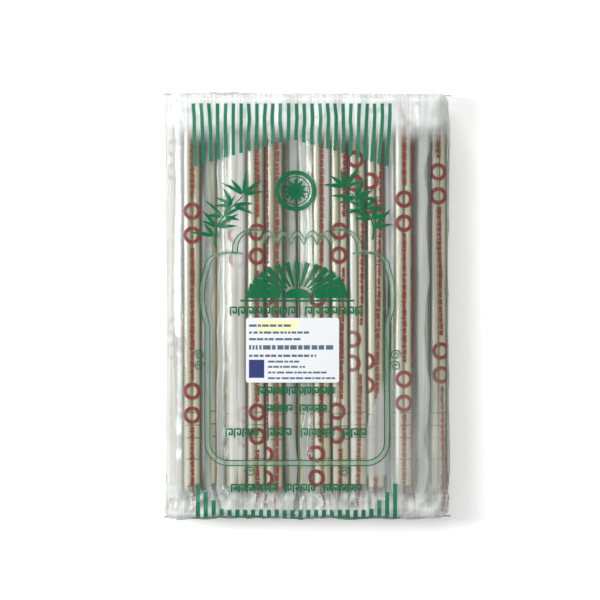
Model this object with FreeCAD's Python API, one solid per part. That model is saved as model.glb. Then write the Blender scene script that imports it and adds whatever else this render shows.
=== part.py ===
import FreeCAD, Part
import math
import os

from FreeCAD import Placement, Rotation, Vector

# A sealed clear film bag of round bamboo chopsticks, each pair in its own clear film sleeve.
# The bag lies on its back. The sticks run along Y with their thick ends towards -Y, the
# printed front is up, and the origin is on the ground under the middle of the bag.
# All sizes are in millimetres.

# One chopstick, turned round and tapered, with rings cut near its thick end
stick_length = 228.6
butt_diameter = 5.0
middle_diameter = 4.55
tip_diameter = 3.8
butt_rounding = 0.9
tip_rounding = 0.6
ring_distances = (17.0, 30.5, 38.5, 46.5)
ring_width = 0.9
ring_depth = 0.16

# The film sleeve round a pair of sticks
stick_gap = 0.3
sleeve_clearance = 0.15
sleeve_film = 0.15
sleeve_end_room = 1.5
sleeve_taper = 4.0
sleeve_flap = 5.7
sleeve_flap_width = 9.6
slit_height = 0.06

# How the pairs lie in the bag
pair_gap = 0.25
layer_gap = 0.1
layer_counts = (14, 16, 16, 16, 16, 13)
layer_spread = (1.0, 1.0, 1.0, 1.0, 1.0, 1.04)
endwise_shift = 1.0

# The pairs on top, each as its place across the bag in pair pitches, its lean in degrees
# and its shift towards the tips in millimetres
top_pairs = (
    (-6.55, 0.0, 0.3),
    (-4.0, 0.15, -0.6),
    (-2.92, 0.1, 0.5),
    (-1.85, 0.0, -0.9),
    (0.82, 0.35, 0.8),
    (1.85, 0.35, -0.4),
    (2.87, 0.3, 0.6),
    (3.89, 0.3, -0.8),
    (5.48, 0.0, 0.2),
)

# The printed outer bag
bag_film = 0.3
bag_room = 0.3
bag_end_room = 8.2
low_corner_radius = 8.0
high_corner_radius = 12.0
end_radius = 6.0

# Where the bag's front sags into a wide gap between two pairs on top: the narrowest such gap,
# the sag as a share of the gap's width, the room left at the bag's ends and at the label, and
# the length over which a sag rises to the flat front again
dip_gap = 5.0
dip_share = 0.1
dip_end_room = 26.0
dip_label_room = 3.0
dip_slope = 20.0
dip_rise = 0.4

# The heat seals at both ends of the bag, pressed into fine ridges and folded down on the end
seal_length = 12.0
seal_overhang = 2.0
seal_height = 22.0
seal_fold_gap = 0.3
seal_ridge_count = 6
seal_ridge_depth = 0.35

# The price label stuck on the front
label_width = 59.0
label_height = 41.0
label_thickness = 0.12
label_corner_radius = 1.5
label_centre_x = -9.5
label_centre_y = -28.0

# Sizes that follow from the ones above
stick_offset = (butt_diameter + stick_gap) / 2
sleeve_half_width = stick_offset + butt_diameter / 2 + sleeve_clearance + sleeve_film
sleeve_half_height = butt_diameter / 2 + sleeve_clearance + sleeve_film
sleeve_body = stick_length / 2 + sleeve_end_room
sleeve_half_length = sleeve_body + sleeve_taper + sleeve_flap
pair_pitch = 2 * sleeve_half_width + pair_gap
layer_pitch = 2 * sleeve_half_height + layer_gap
layers_below_top = len(layer_counts)
edge_layer = layers_below_top - 2
widest_layer = max((count - 1) * spread for count, spread in zip(layer_counts, layer_spread))
bag_half_width = widest_layer * pair_pitch / 2 + sleeve_half_width + bag_room + bag_film
bag_half_length = sleeve_half_length + bag_end_room + bag_film
bag_height = layers_below_top * layer_pitch + 2 * (sleeve_half_height + bag_room + bag_film)


def save(shape, node):
    """Write one node's shape to its own STEP file."""
    shape.exportStep("parts/" + node + ".step")


def curve(*points):
    """A smooth curve through points given as a radius and a distance from the butt end."""
    line = Part.BSplineCurve()
    line.interpolate([Vector(radius, distance, 0) for radius, distance in points])
    return line.toShape()


def straight(start, end):
    """A straight edge between two points given as a radius and a distance."""
    return Part.LineSegment(Vector(*start, 0), Vector(*end, 0)).toShape()


def stick_radius(distance):
    """The radius of a stick at a distance from its butt end: a curve through three diameters."""
    along = distance / stick_length
    sag = 2 * middle_diameter - butt_diameter - tip_diameter
    return (butt_diameter + (tip_diameter - butt_diameter) * along + 2 * sag * along * (1 - along)) / 2


def on_stick(distance):
    """The point of a stick's outline at a distance from its butt end."""
    return (stick_radius(distance), distance)


def stretch(start, end):
    """The plain outline between two distances: a smooth curve through its ends and middle."""
    return curve(on_stick(start), on_stick((start + end) / 2), on_stick(end))


def ring(distance):
    """A ring cut round the stick: a shallow V in the outline."""
    bottom = (stick_radius(distance) - ring_depth, distance)
    before = on_stick(distance - ring_width / 2)
    after = on_stick(distance + ring_width / 2)
    return [straight(before, bottom), straight(bottom, after)]


def stick(rings):
    """One chopstick along Y, centred on the origin, turned from its half outline."""
    butt_centre = (0, 0)
    butt_edge = (stick_radius(0) - butt_rounding, 0)
    tip_edge = (stick_radius(stick_length) - tip_rounding, stick_length)
    tip_centre = (0, stick_length)
    edges = [straight(butt_centre, butt_edge), straight(butt_edge, on_stick(butt_rounding))]
    reached = butt_rounding
    for distance in rings:
        edges.append(stretch(reached, distance - ring_width / 2))
        edges += ring(distance)
        reached = distance + ring_width / 2
    shoulder = stick_length - tip_rounding
    edges.append(stretch(reached, shoulder))
    edges += [straight(on_stick(shoulder), tip_edge), straight(tip_edge, tip_centre)]
    edges.append(straight(tip_centre, butt_centre))
    solid = Part.Face(Part.Wire(edges)).revolve(Vector(0, 0, 0), Vector(0, 1, 0), 360)
    solid.translate(Vector(0, -stick_length / 2, 0))
    return solid


def octagon(half_width, half_height, y):
    """The eight corners of a sleeve's cross-section, round the two sticks' outer curves."""
    corner = half_height * (2 - math.sqrt(2))
    return [
        Vector(x * (half_width - dx), y, z * (half_height - dz))
        for x, z, dx, dz in (
            (1, -1, 0, corner),
            (1, 1, 0, corner),
            (1, 1, corner, 0),
            (-1, 1, corner, 0),
            (-1, 1, 0, corner),
            (-1, -1, 0, corner),
            (-1, -1, corner, 0),
            (1, -1, corner, 0),
        )
    ]


def flat_faced_solid(sections):
    """A closed solid of flat faces through a row of cross-sections with equal corner counts."""
    faces = []
    for near, far in zip(sections, sections[1:]):
        for index in range(len(near)):
            after = (index + 1) % len(near)
            corners = [near[index], near[after], far[after], far[index]]
            if Part.makePolygon(corners + corners[:1]).findPlane():
                faces.append(Part.Face(Part.makePolygon(corners + corners[:1])))
            else:
                for third in (corners[:3], [corners[0], corners[2], corners[3]]):
                    faces.append(Part.Face(Part.makePolygon(third + third[:1])))
    for end in (sections[0], sections[-1]):
        faces.append(Part.Face(Part.makePolygon(end + end[:1])))
    solid = Part.Solid(Part.Shell(faces))
    if solid.Volume < 0:
        solid.reverse()
    return solid


def sleeve():
    """One sleeve of thin film, open inside for two sticks and pressed flat at both ends."""
    flap_half = sleeve_flap_width / 2
    flap_start = sleeve_body + sleeve_taper
    outer = flat_faced_solid([
        octagon(flap_half, sleeve_film, -sleeve_half_length),
        octagon(flap_half, sleeve_film, -flap_start),
        octagon(sleeve_half_width, sleeve_half_height, -sleeve_body),
        octagon(sleeve_half_width, sleeve_half_height, sleeve_body),
        octagon(flap_half, sleeve_film, flap_start),
        octagon(flap_half, sleeve_film, sleeve_half_length),
    ])
    inner_width = sleeve_half_width - sleeve_film
    inner_height = sleeve_half_height - sleeve_film
    slit = flap_start - sleeve_film
    inner = flat_faced_solid([
        octagon(flap_half - sleeve_film, slit_height / 2, -slit),
        octagon(inner_width, inner_height, -sleeve_body),
        octagon(inner_width, inner_height, sleeve_body),
        octagon(flap_half - sleeve_film, slit_height / 2, slit),
    ])
    return outer.cut(inner)


def rounded_outline(half_width, low, high, low_radius, high_radius):
    """A closed outline in the XZ plane: a rectangle whose lower and upper corners are arcs."""
    ways = [Vector(1, 0, 0), Vector(0, 0, 1), Vector(-1, 0, 0), Vector(0, 0, -1)]
    corners = [(1, low, low_radius), (1, high, high_radius), (-1, high, high_radius), (-1, low, low_radius)]
    arcs = []
    for index, (side, height, radius) in enumerate(corners):
        coming = ways[index]
        going = ways[(index + 1) % 4]
        corner = Vector(side * half_width, 0, height)
        start = corner - coming * radius
        end = corner + going * radius
        middle = start + going * radius + (coming - going) * (radius / math.sqrt(2))
        arcs.append((start, middle, end))
    edges = []
    for index, (start, middle, end) in enumerate(arcs):
        edges.append(Part.Arc(start, middle, end).toShape())
        edges.append(Part.LineSegment(end, arcs[(index + 1) % 4][0]).toShape())
    return Part.Wire(edges)


def rounded_block(inset):
    """The full bag's outside, or its inside when inset by the film: a block with soft edges."""
    half_length = bag_half_length - inset
    outline = rounded_outline(
        bag_half_width - inset, inset, bag_height - inset,
        low_corner_radius - inset, high_corner_radius - inset,
    )
    outline.translate(Vector(0, -half_length, 0))
    block = Part.Face(outline).extrude(Vector(0, 2 * half_length, 0))
    end_edges = [edge for edge in block.Edges if abs(abs(edge.CenterOfMass.y) - half_length) < 1e-3]
    return block.makeFillet(end_radius - inset, end_edges)


def dip_section(middle, half_width, y, sag, rim, top):
    """One cross-section of a sag: a shallow bowl with its rim at one height, filled up to the top."""
    bowl = [
        Vector(middle + share * half_width, y, rim + sag * (share ** 2 - 1))
        for share in (-1.1, -0.5, 0, 0.5, 1.1)
    ]
    return [Vector(bowl[0].x, y, top)] + bowl + [Vector(bowl[-1].x, y, top)]


def dips(inset):
    """The sags of the bag's front into the wide gaps between the top pairs, as solids to cut."""
    height = bag_height - inset
    end = bag_half_length - dip_end_room
    label_low = label_centre_y - label_height / 2 - dip_label_room
    label_high = label_centre_y + label_height / 2 + dip_label_room
    solids = []
    for (left, _, _), (right, _, _) in zip(top_pairs, top_pairs[1:]):
        half_width = (right - left) * pair_pitch / 2 - sleeve_half_width
        if 2 * half_width < dip_gap:
            continue
        middle = (left + right) * pair_pitch / 2
        runs = [(-end, end)]
        if abs(middle - label_centre_x) < half_width + label_width / 2:
            runs = [(-end, label_low), (label_high, end)]
        sag = 2 * half_width * dip_share
        for low, high in runs:
            solids.append(flat_faced_solid([
                dip_section(middle, half_width, low, 0, height + dip_rise, height + 2 * dip_rise),
                dip_section(middle, half_width, low + dip_slope, sag, height, height + 2 * dip_rise),
                dip_section(middle, half_width, high - dip_slope, sag, height, height + 2 * dip_rise),
                dip_section(middle, half_width, high, 0, height + dip_rise, height + 2 * dip_rise),
            ]))
    return solids


def seal():
    """The heat seal at the +Y end: two films pressed together in ridges and folded down."""
    root = bag_half_length - bag_film / 2
    near = bag_half_length + seal_fold_gap
    far = near + 2 * bag_film
    fold = seal_height - 2 * bag_film
    ridge = seal_length / seal_ridge_count
    steps = [(0, fold)]
    for index in range(seal_ridge_count):
        steps.append((seal_ridge_depth, fold - (index + 0.5) * ridge))
        steps.append((0, fold - (index + 1) * ridge))
    outline = [(root, seal_height), (far, seal_height)]
    outline += [(far + out, z) for out, z in steps]
    outline += [(near + out, z) for out, z in reversed(steps)]
    outline.append((root, fold))
    half_width = bag_half_width + seal_overhang
    points = [Vector(-half_width, y, z) for y, z in outline]
    face = Part.Face(Part.makePolygon(points + points[:1]))
    return face.extrude(Vector(2 * half_width, 0, 0))


def bag():
    """The outer bag: a closed skin of film, sagging between the pairs, with a folded seal at each end."""
    outside = rounded_block(0).cut(dips(0))
    inside = rounded_block(bag_film).cut(dips(bag_film))
    skin = outside.cut(inside)
    far_seal = seal()
    near_seal = far_seal.mirror(Vector(0, 0, 0), Vector(0, 1, 0))
    return skin.fuse([far_seal, near_seal]).removeSplitter()


def label():
    """The paper label, lying on the bag's flat front."""
    sheet = Part.makeBox(
        label_width, label_height, label_thickness,
        Vector(label_centre_x - label_width / 2, label_centre_y - label_height / 2, bag_height),
    )
    upright = [edge for edge in sheet.Edges if abs(edge.tangentAt(edge.FirstParameter).z) > 0.9]
    return sheet.makeFillet(label_corner_radius, upright)


def placed(shape, place, lean, shift, layer, offset=0.0):
    """A copy of a stick or sleeve, set in its pair, leant and moved to its place in a layer."""
    height = bag_film + bag_room + sleeve_half_height + layer * layer_pitch
    copy = shape.copy()
    copy.translate(Vector(offset, 0, 0))
    turn = Rotation(Vector(0, 0, 1), lean)
    copy.Placement = Placement(Vector(place * pair_pitch, shift, height), turn).multiply(copy.Placement)
    return copy


def save_pair(name, place, lean, shift, layer):
    """Write one pair as three nodes: its two sticks and its sleeve."""
    save(placed(ringed_stick, place, lean, shift, layer, -stick_offset), name + "_stick_left")
    save(placed(ringed_stick, place, lean, shift, layer, stick_offset), name + "_stick_right")
    save(placed(one_sleeve, place, lean, shift, layer), name + "_sleeve")


def layer_places(layer):
    """The places across the bag of one layer's pairs, with each pair's small endwise shift."""
    count = layer_counts[layer]
    for index in range(count):
        place = (index - (count - 1) / 2) * layer_spread[layer]
        shift = endwise_shift * math.sin(5 * layer + 2 * index)
        yield place, shift


def save_layer(layer):
    """Write a layer below the top as one node of sticks and one of sleeves."""
    places = list(layer_places(layer))
    if layer == edge_layer:
        save_pair("left_edge", places[0][0], 0, places[0][1], layer)
        save_pair("right_edge", places[-1][0], 0, places[-1][1], layer)
        places = places[1:-1]
    shape = ringed_stick if layer == layers_below_top - 1 else hidden_stick
    sticks = [
        placed(shape, place, 0, shift, layer, offset)
        for place, shift in places
        for offset in (-stick_offset, stick_offset)
    ]
    sleeves = [placed(one_sleeve, place, 0, shift, layer) for place, shift in places]
    save(Part.makeCompound(sticks), "layer_%d_sticks" % (layer + 1))
    save(Part.makeCompound(sleeves), "layer_%d_sleeves" % (layer + 1))


os.makedirs("parts", exist_ok=True)
ringed_stick = stick(ring_distances)
# The rings are left off the sticks that lie too deep in the bag to show them.
hidden_stick = stick(())
one_sleeve = sleeve()
save(bag(), "bag")
save(label(), "label")
for number, (place, lean, shift) in enumerate(top_pairs, 1):
    save_pair("top_%d" % number, place, lean, shift, layers_below_top)
for layer in range(layers_below_top):
    save_layer(layer)
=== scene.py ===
import math

import bpy
import numpy as np
from bpy.props import FloatProperty, FloatVectorProperty, IntProperty, PointerProperty
from bpy.types import Operator, Panel, PropertyGroup
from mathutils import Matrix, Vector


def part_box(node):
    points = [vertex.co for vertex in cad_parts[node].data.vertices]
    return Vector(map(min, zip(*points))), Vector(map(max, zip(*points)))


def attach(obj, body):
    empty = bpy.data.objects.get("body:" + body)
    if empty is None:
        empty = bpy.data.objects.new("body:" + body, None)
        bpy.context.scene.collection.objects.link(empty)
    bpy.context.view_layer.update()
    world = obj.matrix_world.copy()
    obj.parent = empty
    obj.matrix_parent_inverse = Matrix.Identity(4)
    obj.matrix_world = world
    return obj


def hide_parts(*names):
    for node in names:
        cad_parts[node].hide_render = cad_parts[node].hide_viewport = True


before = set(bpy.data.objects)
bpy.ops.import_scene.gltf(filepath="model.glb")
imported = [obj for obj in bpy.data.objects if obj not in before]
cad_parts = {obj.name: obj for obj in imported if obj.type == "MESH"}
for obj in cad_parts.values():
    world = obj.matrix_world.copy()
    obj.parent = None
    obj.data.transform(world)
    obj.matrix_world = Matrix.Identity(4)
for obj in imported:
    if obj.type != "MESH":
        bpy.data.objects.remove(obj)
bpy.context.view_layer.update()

bl_info = {
    "name": "Bag of Bamboo Chopsticks",
    "version": (1, 0, 0),
    "blender": (4, 5, 0),
    "location": "View3D > Sidebar > Chopsticks",
    "description": "Dresses a packed bag of sleeved bamboo chopsticks in film, print and bamboo",
    "category": "Object",
}

# Shapes are worked out in millimetres in the frame of the solids, and turned to metres in new_piece.
MM = 0.001

# How many pairs lie in each layer's node, from the bottom up
LAYER_PAIRS = {"layer_1": 14, "layer_2": 16, "layer_3": 16, "layer_4": 16, "layer_5": 14, "layer_6": 13}
TOP_PAIRS = ["top_%d" % number for number in range(1, 10)]
EDGE_PAIRS = ["left_edge", "right_edge"]


def node_box(node):
    """The low and high corners of a node's box, in millimetres."""
    return np.array(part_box(node)) / MM


# Sizes read from the solids: the sticks and sleeves of the pairs on top, the label and the bag
STICK_BOX = node_box("top_1_stick_left")
STICK_OFFSET = (node_box("top_1_stick_right")[0, 0] - STICK_BOX[0, 0]) / 2
STICK_RADIUS = (STICK_BOX[1, 2] - STICK_BOX[0, 2]) / 2
SLEEVE_BOX = node_box("top_1_sleeve")
LABEL_BOX = node_box("label")
BAG_TOP = LABEL_BOX[0, 2]
SEAL_OVERHANG = 2.0
SEAL_REACH = 1.25
BAG_HALF_WIDTH = node_box("bag")[1, 0] - SEAL_OVERHANG
BAG_HALF_LENGTH = node_box("bag")[1, 1] - SEAL_REACH

# The bag's round edges, and the dips in its front, as the solid has them
LOW_RADIUS = 8.0
HIGH_RADIUS = 12.0
END_RADIUS = 6.0
DIP_GAP = 5.0
DIP_END = BAG_HALF_LENGTH - 26.0
DIP_SLOPE = 20.0

# Loose film on the left and right of a pair that has none: only enough to close its sides
NO_EARS = (0.1, 0.1)
# The free room on the left of the first pair on top and on the right of the last, in millimetres
OUTER_ROOM = (20.0, 34.0)

# The print on each front sleeve, in millimetres: the rings' place round the sleeve, the first ring's place
# along it, the dashed lines' places round it, and how far the print leans across in 100 mm
SLEEVE_PRINT = {
    "top_1": (0.0, 60.1, (0.2,), 0.0),
    "top_2": (1.6, 45.0, (), -4.4),
    "top_3": (0.6, 46.8, (0.9,), 0.0),
    "top_4": (-6.4, 20.0, (-5.0, 1.4), 0.0),
    "top_5": (-3.0, 20.2, (-0.4,), 1.2),
    "top_6": (-1.2, 47.4, (1.6,), 2.0),
    "top_7": (-3.4, 93.0, (2.2,), 2.2),
    "top_8": (-5.4, 79.1, (1.6,), 2.2),
    "top_9": (0.0, 67.7, (0.3, 5.6), 0.0),
    "left_edge": (-1.4, 100.6, (4.5,), 0.0),
    "right_edge": (0.8, 85.4, (1.2,), -1.6),
}
# How far along the film the rings and the dashes reach, how far the dashes keep from a set of two rings, and
# how far aside of the rings a line runs on past them
RING_REACH = 128.0
DASH_REACH = 131.0
RING_ROOM = 7.8
LINE_ROOM = 6.5

# The share of white over the left stick of each top pair, and of the pairs at the bag's edges: a painted
# highlight that stands in for the lamp's glare on the film
HIGHLIGHTS = (1.2, 0.9, 0.9, 0.6, 0.8, 0.7, 0.7, 0.4, 1.1)
EDGE_HIGHLIGHT = 0.5

# Painted highlights: white streaks on the bag's front that stand in for the lamps' reflection in long folds
# of its film: each one's place across, its half width, its two ends and its strength, in millimetres and as
# a share
GLARE_STREAKS = (
    (-44.5, 4.6, -118.0, 125.0, 0.62),
    (-65.3, 1.1, -118.0, 85.0, 0.4),
    (-12.0, 1.6, -118.0, 35.0, 0.3),
    (-3.0, 2.2, 20.0, 130.0, 0.35),
    (12.4, 1.6, 0.0, 130.0, 0.35),
    (29.4, 1.6, -118.0, 60.0, 0.35),
    (51.8, 2.6, 5.0, 122.0, 0.35),
    (72.6, 3.2, -118.0, 125.0, 0.3),
)

# The bag's printed design: places and sizes in millimetres, a place along the bag on the way to the tips
STRIPE_COUNT = 26
STRIPE_PITCH = 4.99
STRIPE_WIDTH = 2.2
TIP_STRIPE_MIDDLE = -9.6
TIP_STRIPE_START = 128.2
TIP_STRIPE_LENGTH = 22.5
BUTT_STRIPE_MIDDLE = -7.0
BUTT_STRIPE_START = -128.8
BUTT_STRIPE_END = -140.5
BUTT_LINE_PLACE = -134.8
LEAF_SPRAYS = (((-58.0, 37.0), 1, 5), ((41.0, 42.0), -1, 6))
FRAME_MIDDLE = -6.5
FRAME_WIDTH = 117.0
FRAME_LOW = -101.0
FRAME_CORNER = 15.0
FRAME_GAP = 3.2
FRAME_LINE = 0.6
FRAME_BOW = 3.5
BOW_START = -12.0
SHOULDER_PLACE = 25.0
SCROLL_PLACE = -31.0
MEDALLION_PLACE = 73.0
MEDALLION_RADIUS = 11.6
PETAL_COUNT = 12
RAY_COUNT = 15
SUNBURST_BASE = 5.0
SUNBURST_REACH = (32.0, 23.0)
FRET_LINE = 1.0
# Each row's place along the bag, its width and its height in millimetres, and its number of runs
FRET_ROWS = (
    (-3.5, 86.0, 5.4, 2),
    (-54.0, 50.0, 5.0, 1),
    (-65.0, 38.0, 4.4, 2),
    (-80.5, 89.0, 5.4, 4),
    (-115.5, 85.0, 5.0, 3),
)

# Each row of the label's bars: its distance from the top, its start and end from the left, and its height
LABEL_ROWS = (
    (4.9, 2.0, 28.5, 1.5),
    (9.3, 2.0, 40.0, 1.4),
    (13.5, 2.0, 34.5, 1.4),
    (18.7, 2.0, 56.0, 2.8),
    (24.0, 2.0, 44.5, 1.5),
    (27.7, 14.0, 34.5, 1.2),
    (31.0, 14.0, 38.5, 1.2),
    (34.6, 14.0, 52.0, 1.2),
    (38.2, 14.0, 56.5, 1.2),
)
# Two corners of the label's square and of its faint field, from its top left corner
LABEL_SQUARE = ((1.9, 26.5), (11.6, 38.0))
LABEL_FIELD = ((7.5, 1.6), (33.0, 8.6))


def linear(code):
    """Turn an sRGB hex colour into linear red, green, blue."""
    parts = [int(code[start:start + 2], 16) / 255 for start in (1, 3, 5)]
    return tuple(part / 12.92 if part <= 0.04045 else ((part + 0.055) / 1.055) ** 2.4 for part in parts)


def length_property(name, description, default):
    """A length in millimetres for the panel."""
    return FloatProperty(name=name, description=description, default=default, min=0.0)


def share_property(name, description, default):
    """A share from 0 to 1 for the panel."""
    return FloatProperty(
        name=name, description=description, default=default, min=0.0, max=1.0, subtype="FACTOR"
    )


def colour_property(name, description, code):
    """A colour for the panel, written as an sRGB hex value."""
    return FloatVectorProperty(
        name=name, description=description, default=linear(code), subtype="COLOR", size=3, min=0, max=1
    )


class StickSettings(PropertyGroup):
    """The bamboo sticks' finish."""
    pale: colour_property("Pale bamboo", "Colour of the soft tissue between the fibres", "#DDD4BF")
    deep: colour_property("Fibre", "Colour of the darker fibre streaks", "#9C9270")
    tan: colour_property("Tan bamboo", "Colour of the browner sticks", "#B7AD86")
    groove: colour_property("Ring groove", "Colour of the rings cut near the thick end", "#5A4A2C")
    fibre_width: length_property("Fibre width", "Width of one fibre streak in mm", 0.3)
    fibre_length: length_property("Fibre length", "Length of one fibre streak in mm", 28.0)


class SleeveSettings(PropertyGroup):
    """The clear film sleeve round each pair, and its red print."""
    half_width: length_property("Half width", "Half the width of the film round a front pair, in mm", 6.0)
    ear: length_property("Loose film", "Most that loose film lies beside a pair, in mm", 10.0)
    valley: length_property("Valley", "How far the film dips between the two sticks, in mm", 0.4)
    slack: length_property("Slack", "Room between the film and the sticks, in mm", 0.2)
    crumple: length_property("Crumple", "Height of the folds in the flattened ends, in mm", 3.2)
    ring_radius: length_property("Ring radius", "Radius to the middle of a printed ring's line, in mm", 4.4)
    ring_line: length_property("Ring line", "Width of a printed ring's line, in mm", 2.3)
    ring_spacing: length_property("Ring spacing", "Distance between the two rings of a set, in mm", 15.2)
    ring_repeat: length_property("Ring repeat", "Distance from one set of rings to the next, in mm", 114.0)
    ink: colour_property("Red ink", "Colour of the sleeve's print", "#801604")
    haze: share_property("Haze", "Share of light that the film scatters", 0.025)
    butt_milk: share_property("Milk at the thick ends", "White in the film there", 0.55)
    # The white at the tips is higher than at the thick ends, partly as painted glare
    tip_milk_and_glare: share_property("Milk at the tips", "White in the film there", 0.8)


class BagSettings(PropertyGroup):
    """The outer bag's film and its green print."""
    ripple: length_property("Ripple", "Height of the long ripples over the sticks, in mm", 0.8)
    crease: length_property("Crease", "Height of the creases near the ends, in mm", 1.6)
    pleat: length_property("Pleat", "Depth of the gathers round the ends, in mm", 1.3)
    sag: share_property("Sag", "Depth of the dip between pairs as a share of the gap's width", 0.1)
    band: colour_property("Pale ink", "Colour of the band between the frame's two lines", "#DDEBE0")
    ink: colour_property("Green ink", "Colour of the bag's print", "#06683F")
    stripe_ink: colour_property("Stripe ink", "Colour of the stripes, over the milky ends", "#27795C")
    haze: share_property("Haze", "Share of light that the film scatters", 0.02)
    seal_height: length_property("Seal height", "Height of the fold of each end seal, in mm", 22.0)
    seal_length: length_property("Seal length", "Length of each end seal, in mm", 12.0)
    seal_ridges: IntProperty(
        name="Seal ridges", description="Ridges pressed into each end seal", default=6, min=1
    )


class LabelSettings(PropertyGroup):
    """The paper label and its plain print."""
    paper: colour_property("Paper", "Colour of the label", "#E9ECEE")
    dark: colour_property("Dark print", "Colour of the plain bars", "#456079")
    blue: colour_property("Blue print", "Colour of the plain square", "#061F66")
    yellow: colour_property("Yellow print", "Colour of the faint highlight", "#F1EFBE")


class StageSettings(PropertyGroup):
    """The camera, lamps and floor."""
    view_width: length_property("View width", "Width of the camera's view at the bag's front, in mm", 379.8)
    centre_x: FloatProperty(
        name="Centre X", description="Middle of the view across the bag, in mm", default=-4.75
    )
    centre_y: FloatProperty(
        name="Centre Y", description="Middle of the view along the bag, in mm", default=3.8
    )
    distance: length_property("Distance", "Distance from the camera to the bag's front, in mm", 2200.0)
    floor: colour_property("Floor", "Colour of the floor", "#F6F6F6")


class ChopstickBagSettings(PropertyGroup):
    """All settings of the bag."""
    sticks: PointerProperty(type=StickSettings)
    sleeves: PointerProperty(type=SleeveSettings)
    bag: PointerProperty(type=BagSettings)
    label: PointerProperty(type=LabelSettings)
    stage: PointerProperty(type=StageSettings)


def settings():
    """The settings kept on the scene."""
    return bpy.context.scene.chopstick_bag


# Arrays and noise


def smooth_step(value, low, high):
    """A share that goes from 0 at low to 1 at high along a smooth S: 3t^2 - 2t^3."""
    share = np.clip((value - low) / (high - low), 0, 1)
    return share * share * (3 - 2 * share)


def soft_noise(points, cell, seed):
    """Noise from 0 to 1: random values at the corners of boxes of the size cell, blended between them."""
    size = 24
    values = np.random.default_rng(seed).random((size, size, size))
    place = points / np.asarray(cell, float)
    corner = np.floor(place).astype(int)
    share = place - corner
    share = share * share * (3 - 2 * share)
    total = np.zeros(points.shape[:-1])
    for step in np.ndindex(2, 2, 2):
        index = (corner + step) % size
        weight = np.prod(np.where(np.array(step) == 1, share, 1 - share), axis=-1)
        total += weight * values[index[..., 0], index[..., 1], index[..., 2]]
    return total


def crease_noise(points, cell, seed, sharpness):
    """Sharp folds from 0 to 1: the crest where soft noise crosses its middle, (1 - |2n - 1|)^sharpness."""
    return (1 - np.abs(2 * soft_noise(points, cell, seed) - 1)) ** sharpness


def grid_faces(rows, columns, wrap=False):
    """The four-cornered faces of a grid of points, joined round its columns when wrap is set."""
    index = np.arange(rows * columns).reshape(rows, columns)
    after = np.roll(index, -1, axis=1)
    if not wrap:
        index, after = index[:, :-1], after[:, :-1]
    return np.stack([index[:-1], after[:-1], after[1:], index[1:]], axis=-1).reshape(-1, 4)


def new_piece(name, points, faces, material, nodes=(), attributes=None):
    """A smooth mesh object in metres that rides on the bag, takes the given material, and stands for the
    given nodes."""
    mesh = bpy.data.meshes.new(name)
    mesh.from_pydata((np.asarray(points).reshape(-1, 3) * MM).tolist(), [], faces)
    mesh.polygons.foreach_set("use_smooth", np.ones(len(mesh.polygons), bool))
    for key, values in (attributes or {}).items():
        layer = mesh.attributes.new(key, "FLOAT", "POINT")
        layer.data.foreach_set("value", np.asarray(values, np.float32).ravel())
    mesh.materials.append(material)
    mesh.update()
    piece = bpy.data.objects.new(name, mesh)
    bpy.context.scene.collection.objects.link(piece)
    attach(piece, "root")
    if nodes:
        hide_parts(*nodes)
    return piece


def closed_tubes(tubes):
    """Points and faces of closed tubes, each a grid of rows by columns with a fan over each end row."""
    points = []
    faces = []
    start = 0
    for grid in tubes:
        rows, columns = grid.shape[:2]
        body = grid_faces(rows, columns, wrap=True)
        poles = np.stack([grid[0].mean(axis=0), grid[-1].mean(axis=0)])
        ring = np.arange(columns)
        after = np.roll(ring, -1)
        first = np.stack([after, ring, np.full(columns, rows * columns)], axis=-1)
        last_ring = ring + (rows - 1) * columns
        last_after = after + (rows - 1) * columns
        last = np.stack([last_ring, last_after, np.full(columns, rows * columns + 1)], axis=-1)
        all_points = np.concatenate([grid.reshape(-1, 3), poles])
        corners = np.concatenate([body[:, [0, 1, 2]], body[:, [0, 2, 3]], first, last])
        a, b, c = (all_points[corners[:, k]] for k in range(3))
        if np.einsum("ij,ij->", a, np.cross(b, c)) < 0:
            body, first, last = body[:, ::-1], first[:, ::-1], last[:, ::-1]
        points.append(all_points)
        for group in (body, first, last):
            faces += (group + start).tolist()
        start += len(all_points)
    return np.concatenate(points), faces


# Materials


def new_material(name):
    """An empty node material."""
    material = bpy.data.materials.new(name)
    material.use_nodes = True
    material.node_tree.nodes.clear()
    return material


def add_node(owner, kind, fields=None, **sockets):
    """Add a shader node to a material or world, set its fields, and set or link its inputs, named or
    numbered as in0, in1. A node given for an input is linked by its first output."""
    tree = owner.node_tree
    node = tree.nodes.new("ShaderNode" + kind)
    for field, value in (fields or {}).items():
        setattr(node, field, value)
    for key, value in sockets.items():
        socket = node.inputs[int(key[2:])] if key[2:].isdigit() else node.inputs[key.replace("_", " ")]
        if isinstance(value, bpy.types.Node):
            value = value.outputs[0]
        if isinstance(value, bpy.types.NodeSocket):
            tree.links.new(value, socket)
        else:
            socket.default_value = value
    return node


def opaque(colour):
    """A colour with an alpha of one, for a colour socket."""
    return (*colour, 1.0)


def pattern_place(material, size_x, size_y, size_z):
    """Object coordinates divided by a size along each axis, given in millimetres."""
    place = add_node(material, "TexCoord").outputs["Object"]
    scale = (1 / (size_x * MM), 1 / (size_y * MM), 1 / (size_z * MM))
    return add_node(material, "Mapping", in0=place, Scale=scale)


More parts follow.
